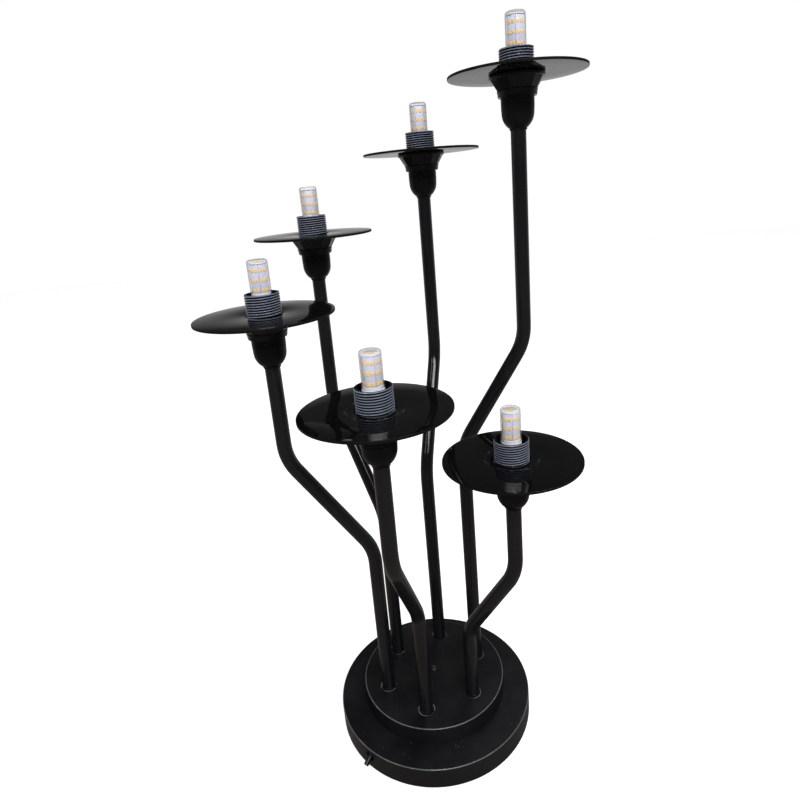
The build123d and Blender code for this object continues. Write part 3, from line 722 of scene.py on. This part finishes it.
class TREELAMP_OT_stage(bpy.types.Operator):
    """Pale floor, white surroundings, soft lamps and the photograph's camera"""

    bl_idname = "treelamp.stage"
    bl_label = "Stage"

    def execute(self, context):
        self.floor(context)
        self.surroundings(context)
        self.lamps(context)
        self.camera(context)
        context.scene.view_settings.view_transform = "Standard"
        return {"FINISHED"}

    def light_path(self, tree):
        """1 for rays from the camera and through glass, and 1 for rays off gloss."""
        path = tree.nodes.new("ShaderNodeLightPath")
        direct = (path.outputs["Is Camera Ray"], path.outputs["Is Transmission Ray"])
        return arithmetic(tree, "MAXIMUM", *direct), path.outputs["Is Glossy Ray"]

    def floor(self, context):
        """Floor that is seen white with the lamp's shadow, and mirrored dimmer in front of it."""
        settings = context.scene.treelamp_stage
        mesh = bmesh.new()
        bmesh.ops.create_grid(mesh, x_segments=2, y_segments=2, size=settings.floor_size / 2)
        finish = Finish("pale_floor", settings.floor_colour, 0.9, 0.0)
        finish.shader.inputs["Emission Color"].default_value = (1.0, 1.0, 1.0, 1.0)
        seen, glossy = self.light_path(finish.tree)
        mirrored = arithmetic(finish.tree, "MULTIPLY", glossy, settings.mirrored_lift)
        lift = arithmetic(finish.tree, "MAXIMUM", seen, mirrored)
        glow = arithmetic(finish.tree, "MULTIPLY", lift, settings.floor_glow)
        finish.tree.links.new(glow, finish.shader.inputs["Emission Strength"])
        _, split = object_place(finish.tree)
        ahead = ramp(finish.tree, split.outputs["Y"], 0.0, settings.mirrored_back, 1.0, 0.0)
        dim = arithmetic(finish.tree, "MULTIPLY", glossy, ahead)
        finish.colour_from(dim, settings.floor_colour, settings.mirrored_front)
        add_object("studio_floor", mesh, finish.material)

    def surroundings(self, context):
        """White where it is seen, mirrored as a low white backdrop under a dim ceiling."""
        settings = context.scene.treelamp_stage
        world = bpy.data.worlds.new("studio_surroundings")
        world.use_nodes = True
        tree = world.node_tree
        background = tree.nodes["Background"]
        background.inputs["Color"].default_value = (1.0, 1.0, 1.0, 1.0)
        looked_at = tree.nodes.new("ShaderNodeTexCoord").outputs["Generated"]
        direction = tree.nodes.new("ShaderNodeSeparateXYZ")
        tree.links.new(looked_at, direction.inputs["Vector"])
        top = math.sin(settings.backdrop_top)
        levels = (settings.mirrored_level, settings.ceiling_level)
        backdrop = ramp(tree, direction.outputs["Z"], 0.0, top, *levels)
        behind = ramp(tree, direction.outputs["Y"], -0.3, 0.3, settings.front_share, 1.0)
        backdrop = arithmetic(tree, "MULTIPLY", backdrop, behind)
        seen, glossy = self.light_path(tree)
        mirrored = arithmetic(tree, "MULTIPLY", glossy, backdrop)
        direct = ramp(tree, seen, 0.0, 1.0, settings.sky_level, 1.0)
        lit = arithmetic(tree, "MULTIPLY", direct, arithmetic(tree, "SUBTRACT", 1.0, glossy))
        tree.links.new(arithmetic(tree, "ADD", mirrored, lit), background.inputs["Strength"])
        context.scene.world = world

    def lamps(self, context):
        """Three soft area lamps: a wide one in front, one at the side and one at the back."""
        settings = context.scene.treelamp_stage
        target = Vector((0.0, 0.0, 0.25))
        rows = (
            ("front_lamp", (0.45, -1.50, 1.75), (1.8, 0.5), settings.front_power),
            ("side_lamp", (-1.3, -0.9, 1.5), (0.35, 0.5), settings.side_power),
            ("back_lamp", (0.5, 0.8, 2.0), (0.6, 0.6), settings.back_power),
        )
        for name, place, size, power in rows:
            data = bpy.data.lights.new(name, "AREA")
            data.shape = "RECTANGLE"
            data.size, data.size_y = size
            data.energy = power
            lamp = bpy.data.objects.new(name, data)
            lamp.location = place
            lamp.rotation_euler = (target - Vector(place)).to_track_quat("-Z", "Y").to_euler()
            context.scene.collection.objects.link(lamp)

    def camera(self, context):
        """Camera at the photograph's place, angle and framing."""
        view = context.scene.treelamp_camera
        forward = Vector((
            math.sin(view.yaw) * math.cos(view.pitch),
            math.cos(view.yaw) * math.cos(view.pitch),
            -math.sin(view.pitch),
        ))
        level = Vector((math.cos(view.yaw), -math.sin(view.yaw), 0.0))
        below = forward.cross(level)
        right = math.cos(view.roll) * level + math.sin(view.roll) * below
        up = math.sin(view.roll) * level - math.cos(view.roll) * below
        data = bpy.data.cameras.new("photo_camera")
        data.lens = view.focal_pixels / view.frame_width * data.sensor_width
        data.shift_x = 0.5 - view.centre_x / view.frame_width
        data.shift_y = view.centre_y / view.frame_width - 0.5
        data.clip_start = 0.01
        camera = bpy.data.objects.new("photo_camera", data)
        turned = Matrix((right, up, -forward)).transposed().to_4x4()
        camera.matrix_world = Matrix.Translation((0.0, -view.distance, view.height)) @ turned
        context.scene.collection.objects.link(camera)
        context.scene.camera = camera


class TREELAMP_OT_finishes(bpy.types.Operator):
    """Builds the materials and gives each carried-over piece its finish"""

    bl_idname = "treelamp.finishes"
    bl_label = "Finishes"

    def execute(self, context):
        finishes.update(build_finishes())
        for name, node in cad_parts.items():
            finish_name = finish_of(name)
            if finish_name:
                node.data.materials.clear()
                node.data.materials.append(finishes[finish_name])
        return {"FINISHED"}


class TREELAMP_OT_holder_skirts(bpy.types.Operator):
    """Upper half of each lampholder: threaded sleeve, rim, flat-sided cone and stepped ring"""

    bl_idname = "treelamp.holder_skirts"
    bl_label = "Holder skirts"

    def execute(self, context):
        sizes = context.scene.treelamp_holder
        for number in ARMS:
            mesh = lathe(self.outline(sizes), 144, self.shaper(sizes))
            piece = add_object(
                f"threaded_skirt_{number}", mesh, finishes["skirt"], head_place(number), sharp=24.0
            )
            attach(piece, "lamp")
            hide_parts(f"holder_skirt_{number}")
        return {"FINISHED"}

    def outline(self, sizes):
        """Closed outline, down the outside and up the bore."""
        sleeve = sizes.sleeve_diameter / 2
        bore = sizes.sleeve_bore / 2
        rim = sizes.rim_diameter / 2
        cone = sizes.cone_diameter / 2
        ring = sizes.ring_diameter / 2
        cone_foot = -sizes.rim_thickness - sizes.cone_height
        ring_foot = cone_foot - sizes.ring_height
        seat = sizes.seat_diameter / 2
        step = sizes.ring_step
        lip = sizes.ring_lip
        outline = rounded([
            (bore, sizes.sleeve_height, 0.4 * MM), (sleeve, sizes.sleeve_height, 0.5 * MM),
            (sleeve, 0.0, 0.0),
        ])[:-1]
        rows_per_turn = 10
        rows = int(sizes.sleeve_height / sizes.thread_pitch * rows_per_turn)
        top = outline[-1].y
        outline += [Vector((sleeve, top * (1 - row / rows))) for row in range(1, rows + 1)]
        below = [
            (sleeve, 0.0, 0.0),
            (rim, 0.0, 0.8 * MM),
            (rim, -sizes.rim_thickness, 0.8 * MM),
            (cone, -sizes.rim_thickness, 0.0),
            (ring, cone_foot, 0.0),
            (ring, cone_foot - lip, 0.15 * MM),
            (ring - step, cone_foot - lip, 0.1 * MM),
            (ring - 1.3 * step, cone_foot - 2.1 * lip, 0.1 * MM),
            (ring - 1.9 * step, cone_foot - 2.1 * lip, 0.1 * MM),
            (ring - 2.0 * step, ring_foot + lip, 0.1 * MM),
            (ring - 3.0 * step, ring_foot + lip, 0.1 * MM),
            (ring - 3.0 * step, ring_foot, 0.2 * MM),
            (seat, ring_foot, 0.2 * MM),
            (seat, -sizes.seat_depth, 0.0),
            (bore, -sizes.seat_depth, 0.0),
            (bore, sizes.sleeve_height, 0.4 * MM),
        ]
        outline += rounded(below)[1:-5]
        return outline

    def shaper(self, sizes):
        """Radius that follows the thread on the sleeve and the flats on the cone."""
        sleeve = sizes.sleeve_diameter / 2
        cone = sizes.cone_diameter / 2
        ring = sizes.ring_diameter / 2
        slack = 0.001 * MM
        fade_height = 0.8 * MM
        cone_top = -sizes.rim_thickness
        cone_foot = cone_top - sizes.cone_height
        sector = 2 * math.pi / sizes.cone_sides

        def radius_at(radius, height, angle):
            if radius > sleeve - 0.45 * MM and height > 0.0:
                phase = (height / sizes.thread_pitch - angle / (2 * math.pi)) % 1.0
                wave = abs(phase - 0.5) * 2
                depth = min(max((wave - 0.2) / 0.6, 0.0), 1.0)
                fade = min(height / fade_height, (sizes.sleeve_height - height) / fade_height, 1.0)
                return radius - depth * fade * sizes.thread_depth
            on_cone = cone_foot - slack <= height <= cone_top + slack
            if on_cone and ring - slack < radius <= cone + slack:
                across = (angle % sector) - sector / 2
                return radius * math.cos(sector / 2) / math.cos(across)
            return radius

        return radius_at


class TREELAMP_OT_holder_cups(bpy.types.Operator):
    """Lower half of each lampholder: a cup with step lines, a rounded bottom and a neck"""

    bl_idname = "treelamp.holder_cups"
    bl_label = "Holder cups"

    def execute(self, context):
        sizes = context.scene.treelamp_holder
        for number in ARMS:
            mesh = lathe(self.outline(sizes), 96)
            piece = add_object(f"smooth_cup_{number}", mesh, finishes["cup"], head_place(number))
            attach(piece, "lamp")
            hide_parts(f"holder_cup_{number}")
        return {"FINISHED"}

    def shoulder(self, sizes, inset, low_height, steps=12):
        """Arc from a height up to the wall that it meets smoothly, set inside by an inset."""
        low = sizes.cup_low_diameter / 2
        width = low - sizes.neck_diameter / 2
        radius = (sizes.cup_shoulder**2 + width**2) / (2 * width)
        middle = Vector((low - radius, sizes.cup_shoulder - sizes.cup_depth))
        start = math.asin((middle.y - low_height) / (radius - inset))
        return [
            middle + (radius - inset) * Vector((math.cos(start * share), -math.sin(start * share)))
            for share in (step / steps for step in range(steps, -1, -1))
        ]

    def outline(self, sizes):
        """Closed outline, up the outside and down the inside."""
        top = sizes.cup_top_diameter / 2
        neck = sizes.neck_diameter / 2
        clear = sizes.tube_clear_diameter / 2
        spigot = sizes.spigot_diameter / 2
        bottom = -sizes.cup_depth
        shoulder_top = bottom + sizes.cup_shoulder
        wall_top = -sizes.rim_thickness - sizes.cone_height - sizes.ring_height - sizes.groove_height
        fine = 0.25 * MM
        soft = 0.1 * MM
        outline = rounded([
            (clear, bottom, 0.0), (clear, bottom - sizes.neck_height, 0.2 * MM),
            (neck, bottom - sizes.neck_height, 0.3 * MM), (neck, bottom, 0.0),
        ])
        outline += self.shoulder(sizes, 0.0, bottom)
        wall = [(sizes.cup_low_diameter / 2, shoulder_top, 0.0)]
        for drop in (5.2 * MM, 3.4 * MM, 1.2 * MM):
            line = wall_top - drop
            wall += [
                (top - fine * 1.2, line - fine, soft), (top - fine * 2.4, line, soft),
                (top - fine * 2.4, line + fine, soft), (top - fine, line + 2 * fine, soft),
            ]
        wall += [
            (top, wall_top, 0.2 * MM), (spigot, wall_top, 0.0), (spigot, -sizes.spigot_top, 0.0),
            (spigot - sizes.cup_wall, -sizes.spigot_top, 0.0),
        ]
        outline += rounded(wall)[1:]
        outline += reversed(self.shoulder(sizes, sizes.cup_wall, bottom + sizes.cup_floor))
        pocket = bottom + sizes.cup_floor
        outline += rounded([
            (sizes.pocket_diameter / 2, pocket, 0.0), (sizes.nipple_hole / 2, pocket, 0.0),
            (sizes.nipple_hole / 2, bottom, 0.0),
        ])
        return outline


class TREELAMP_OT_discs(bpy.types.Operator):
    """Mirror discs with softened edges"""

    bl_idname = "treelamp.discs"
    bl_label = "Mirror discs"

    def execute(self, context):
        sizes = context.scene.treelamp_disc
        outer = sizes.diameter / 2
        inner = sizes.hole / 2
        soft = sizes.edge_round
        for number in ARMS:
            outline = rounded([
                (inner, 0.0, soft), (outer, 0.0, soft),
                (outer, sizes.thickness, soft), (inner, sizes.thickness, soft),
            ])
            piece = add_object(
                f"mirror_disc_{number}", lathe(outline, 180), finishes["mirror"], head_place(number)
            )
            piece.data.materials.append(finishes["disc_edge"])
            for face in piece.data.polygons:
                if abs(face.normal.z) < 0.9:
                    face.material_index = 1
            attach(piece, f"disc_{number}")
            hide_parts(f"shade_disc_{number}")
        return {"FINISHED"}


class TREELAMP_OT_bulbs(bpy.types.Operator):
    """LED bulbs: white foot, pins, dark core, six boards with amber chips and a round crown"""

    bl_idname = "treelamp.bulbs"
    bl_label = "LED bulbs"

    def execute(self, context):
        sizes = context.scene.treelamp_bulb
        for number in ARMS:
            place = head_place(number)
            turn = COLUMN_TURNS[number]
            pin_turn = PIN_TURNS[number]
            foot = add_object(f"bulb_foot_{number}", self.foot(sizes), finishes["foot"], place)
            parts = [
                foot,
                add_object(f"bulb_pins_{number}", self.pins(sizes), finishes["zinc"], place, pin_turn),
                add_object(f"led_core_{number}", self.core(sizes), finishes["core"], place, turn),
                add_object(f"led_boards_{number}", self.boards(sizes), finishes["board"], place, turn),
                add_object(f"led_crown_{number}", self.crown(sizes), finishes["foot"], place, turn),
                add_object(f"led_chips_{number}", self.chips(sizes), finishes["chip"], place, turn),
            ]
            for part in parts:
                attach(part, f"bulb_{number}")
            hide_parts(f"led_bulb_{number}")
        return {"FINISHED"}

    def foot(self, sizes):
        """White foot with a softened collar and the step that the cover sits round."""
        radius = sizes.diameter / 2
        step = radius - sizes.cover_wall - sizes.spigot_gap
        corners = [
            (0.5 * MM, sizes.foot_low, 0.0), (radius, sizes.foot_low, 0.6 * MM),
            (radius, sizes.collar_top - 3.2 * MM, 0.1 * MM),
            (radius - 0.2 * MM, sizes.collar_top - 3.0 * MM, 0.1 * MM),
            (radius - 0.2 * MM, sizes.collar_top - 2.6 * MM, 0.1 * MM),
            (radius, sizes.collar_top - 2.4 * MM, 0.1 * MM),
            (radius, sizes.collar_top, 0.25 * MM), (step, sizes.collar_top, 0.0),
            (step, sizes.collar_top + sizes.spigot_height, 0.3 * MM),
            (0.5 * MM, sizes.collar_top + sizes.spigot_height, 0.0),
        ]
        points = [(0.0, sizes.foot_low)]
        points += [tuple(point) for point in rounded(corners, steps=3)]
        points.append((0.0, sizes.collar_top + sizes.spigot_height))
        return solid_lathe(points, 72)

    def pins(self, sizes):
        """Two flat pins with softened edges."""
        mesh = bmesh.new()
        for side in (-1, 1):
            middle = (side * sizes.pin_spacing / 2, 0.0, sizes.foot_low - sizes.pin_length / 2)
            size = (sizes.pin_thickness, sizes.pin_width, sizes.pin_length)
            block(mesh, size, Matrix.Translation(middle), 0.2 * MM)
        return mesh

    def core(self, sizes):
        """Six-sided dark core behind the boards."""
        mesh = bmesh.new()
        radius = sizes.column_width / 2 - 1.4 * sizes.board_thickness
        foot = sizes.collar_top + sizes.spigot_height
        height = sizes.column_height
        place = Matrix.Translation((0, 0, foot + height / 2))
        bmesh.ops.create_cone(
            mesh, cap_ends=True, segments=6, radius1=radius, radius2=radius, depth=height, matrix=place
        )
        soften(mesh, mesh.edges[:], 0.2 * MM)
        return mesh

    def faces_of_column(self):
        """Matrices that turn the front of a board to each side of the column."""
        return [Matrix.Rotation(math.radians(30 + 60 * side), 4, "Z") for side in range(6)]

    def boards(self, sizes):
        """Six upright boards with dark gaps between them."""
        mesh = bmesh.new()
        half = sizes.column_width / 2
        apothem = half * math.cos(math.pi / 6)
        width = half - sizes.board_gap
        foot = sizes.collar_top + sizes.spigot_height
        thickness = sizes.board_thickness
        size = (thickness, width, sizes.column_height - 0.6 * MM)
        middle = Matrix.Translation((apothem - thickness / 2, 0, foot + sizes.column_height / 2))
        for turned in self.faces_of_column():
            block(mesh, size, turned @ middle, 0.12 * MM)
        return mesh

    def crown(self, sizes):
        """Round board on top of the column, with a softened rim."""
        foot = sizes.collar_top + sizes.spigot_height + sizes.column_height
        radius = sizes.crown_diameter / 2
        corners = [
            (0.5 * MM, foot, 0.0), (radius, foot, 0.15 * MM),
            (radius, foot + sizes.crown_height, 0.15 * MM), (0.5 * MM, foot + sizes.crown_height, 0.0),
        ]
        points = [(0.0, foot)] + [tuple(point) for point in rounded(corners, steps=3)]
        return solid_lathe(points + [(0.0, foot + sizes.crown_height)], 48)

    def chips(self, sizes):
        """Chips in rows of two on every board, and four on the top board."""
        mesh = bmesh.new()
        thickness = 0.55 * MM
        apothem = sizes.column_width / 2 * math.cos(math.pi / 6)
        foot = sizes.collar_top + sizes.spigot_height
        size = (thickness, sizes.chip_width, sizes.chip_height)
        for turned in self.faces_of_column():
            for row in range(sizes.rows):
                height = foot + sizes.first_row + row * sizes.row_pitch
                for side in (-0.5, 0.5):
                    middle = Matrix.Translation((apothem + 0.1 * MM, side * sizes.chip_spacing, height))
                    block(mesh, size, turned @ middle, 0.15 * MM)
        top = foot + sizes.column_height + sizes.crown_height
        for quarter in range(4):
            turned = Matrix.Rotation(math.radians(45 + 90 * quarter), 4, "Z")
            middle = Matrix.Translation((2.9 * MM, 0, top))
            block(mesh, (sizes.chip_width, sizes.chip_height, thickness), turned @ middle, 0.15 * MM)
        return mesh


class TREELAMP_OT_covers(bpy.types.Operator):
    """Clear capsule covers with a rounded shoulder"""

    bl_idname = "treelamp.covers"
    bl_label = "Bulb covers"

    def execute(self, context):
        sizes = context.scene.treelamp_bulb
        for number in ARMS:
            piece = add_object(
                f"clear_capsule_{number}", self.shell(sizes), finishes["clear"], head_place(number)
            )
            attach(piece, f"bulb_{number}")
            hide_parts(f"bulb_cover_{number}")
        return {"FINISHED"}

    def shell(self, sizes):
        """Thin-walled capsule: outside up to the top, then the inside down again."""
        outer = sizes.diameter / 2
        inner = outer - sizes.cover_wall
        low = sizes.collar_top
        high = low + sizes.cover_height
        corners = [
            (inner, low, 0.1 * MM), (outer, low, 0.1 * MM), (outer, high, sizes.cover_round),
            (0.4 * MM, high, 0.0), (0.4 * MM, high - sizes.cover_wall, 0.0),
            (inner, high - sizes.cover_wall, sizes.cover_round - sizes.cover_wall),
        ]
        return lathe(rounded(corners, steps=6), 72)


class TREELAMP_OT_centre_screw(bpy.types.Operator):
    """Screw in the middle of the base, with a domed head and a six-sided socket"""

    bl_idname = "treelamp.centre_screw"
    bl_label = "Centre screw"

    def execute(self, context):
        sizes = context.scene.treelamp_base
        low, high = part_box("centre_screw")
        base_top = high[2] - sizes.screw_height
        radius = sizes.screw_head / 2
        flats = sizes.screw_socket / 2
        sector = math.pi / 3

        def radius_at(r, height, angle):
            if r > flats * 1.05:
                return r
            return r / math.cos((angle % sector) - sector / 2)

        top = sizes.screw_height
        socket_floor = top - 1.3 * MM
        shank = 2.0 * MM
        tip = low[2] - base_top
        corners = [
            (flats, top, 0.1 * MM), (radius - 0.3 * MM, top, 0.5 * MM), (radius, 0.3 * MM, 0.3 * MM),
            (radius, 0.0, 0.0), (shank, 0.0, 0.0), (shank, tip, 0.3 * MM), (0.5 * MM, tip, 0.0),
            (0.5 * MM, socket_floor, 0.0), (flats, socket_floor, 0.1 * MM),
        ]
        mesh = lathe(rounded(corners), 72, radius_at)
        piece = add_object("socket_screw", mesh, finishes["screw"], (0.0, 0.0, base_top))
        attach(piece, "lamp")
        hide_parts("centre_screw")
        return {"FINISHED"}


class TREELAMP_PT_sidebar(bpy.types.Panel):
    """Lists the steps that dress the lamp"""

    bl_idname = "TREELAMP_PT_sidebar"
    bl_label = "Tree lamp"
    bl_space_type = "VIEW_3D"
    bl_region_type = "UI"
    bl_category = "Tree lamp"

    def draw(self, context):
        for operator in OPERATORS:
            self.layout.operator(operator.bl_idname)


OPERATORS = (
    TREELAMP_OT_stage, TREELAMP_OT_finishes, TREELAMP_OT_holder_skirts, TREELAMP_OT_holder_cups,
    TREELAMP_OT_discs, TREELAMP_OT_bulbs, TREELAMP_OT_covers, TREELAMP_OT_centre_screw,
)
SETTINGS = {
    "treelamp_camera": TREELAMP_PG_camera,
    "treelamp_stage": TREELAMP_PG_stage,
    "treelamp_holder": TREELAMP_PG_holder,
    "treelamp_disc": TREELAMP_PG_disc,
    "treelamp_bulb": TREELAMP_PG_bulb,
    "treelamp_base": TREELAMP_PG_base,
    "treelamp_finish": TREELAMP_PG_finish,
}


def register():
    for group in SETTINGS.values():
        bpy.utils.register_class(group)
    for name, group in SETTINGS.items():
        setattr(bpy.types.Scene, name, PointerProperty(type=group))
    for operator in OPERATORS:
        bpy.utils.register_class(operator)
    bpy.utils.register_class(TREELAMP_PT_sidebar)


def unregister():
    bpy.utils.unregister_class(TREELAMP_PT_sidebar)
    for operator in reversed(OPERATORS):
        bpy.utils.unregister_class(operator)
    for name in SETTINGS:
        delattr(bpy.types.Scene, name)
    for group in reversed(SETTINGS.values()):
        bpy.utils.unregister_class(group)


def main():
    register()
    bpy.ops.treelamp.stage()
    bpy.ops.treelamp.finishes()
    bpy.ops.treelamp.holder_skirts()
    bpy.ops.treelamp.holder_cups()
    bpy.ops.treelamp.discs()
    bpy.ops.treelamp.bulbs()
    bpy.ops.treelamp.covers()
    bpy.ops.treelamp.centre_screw()


if __name__ == "__main__":
    main()
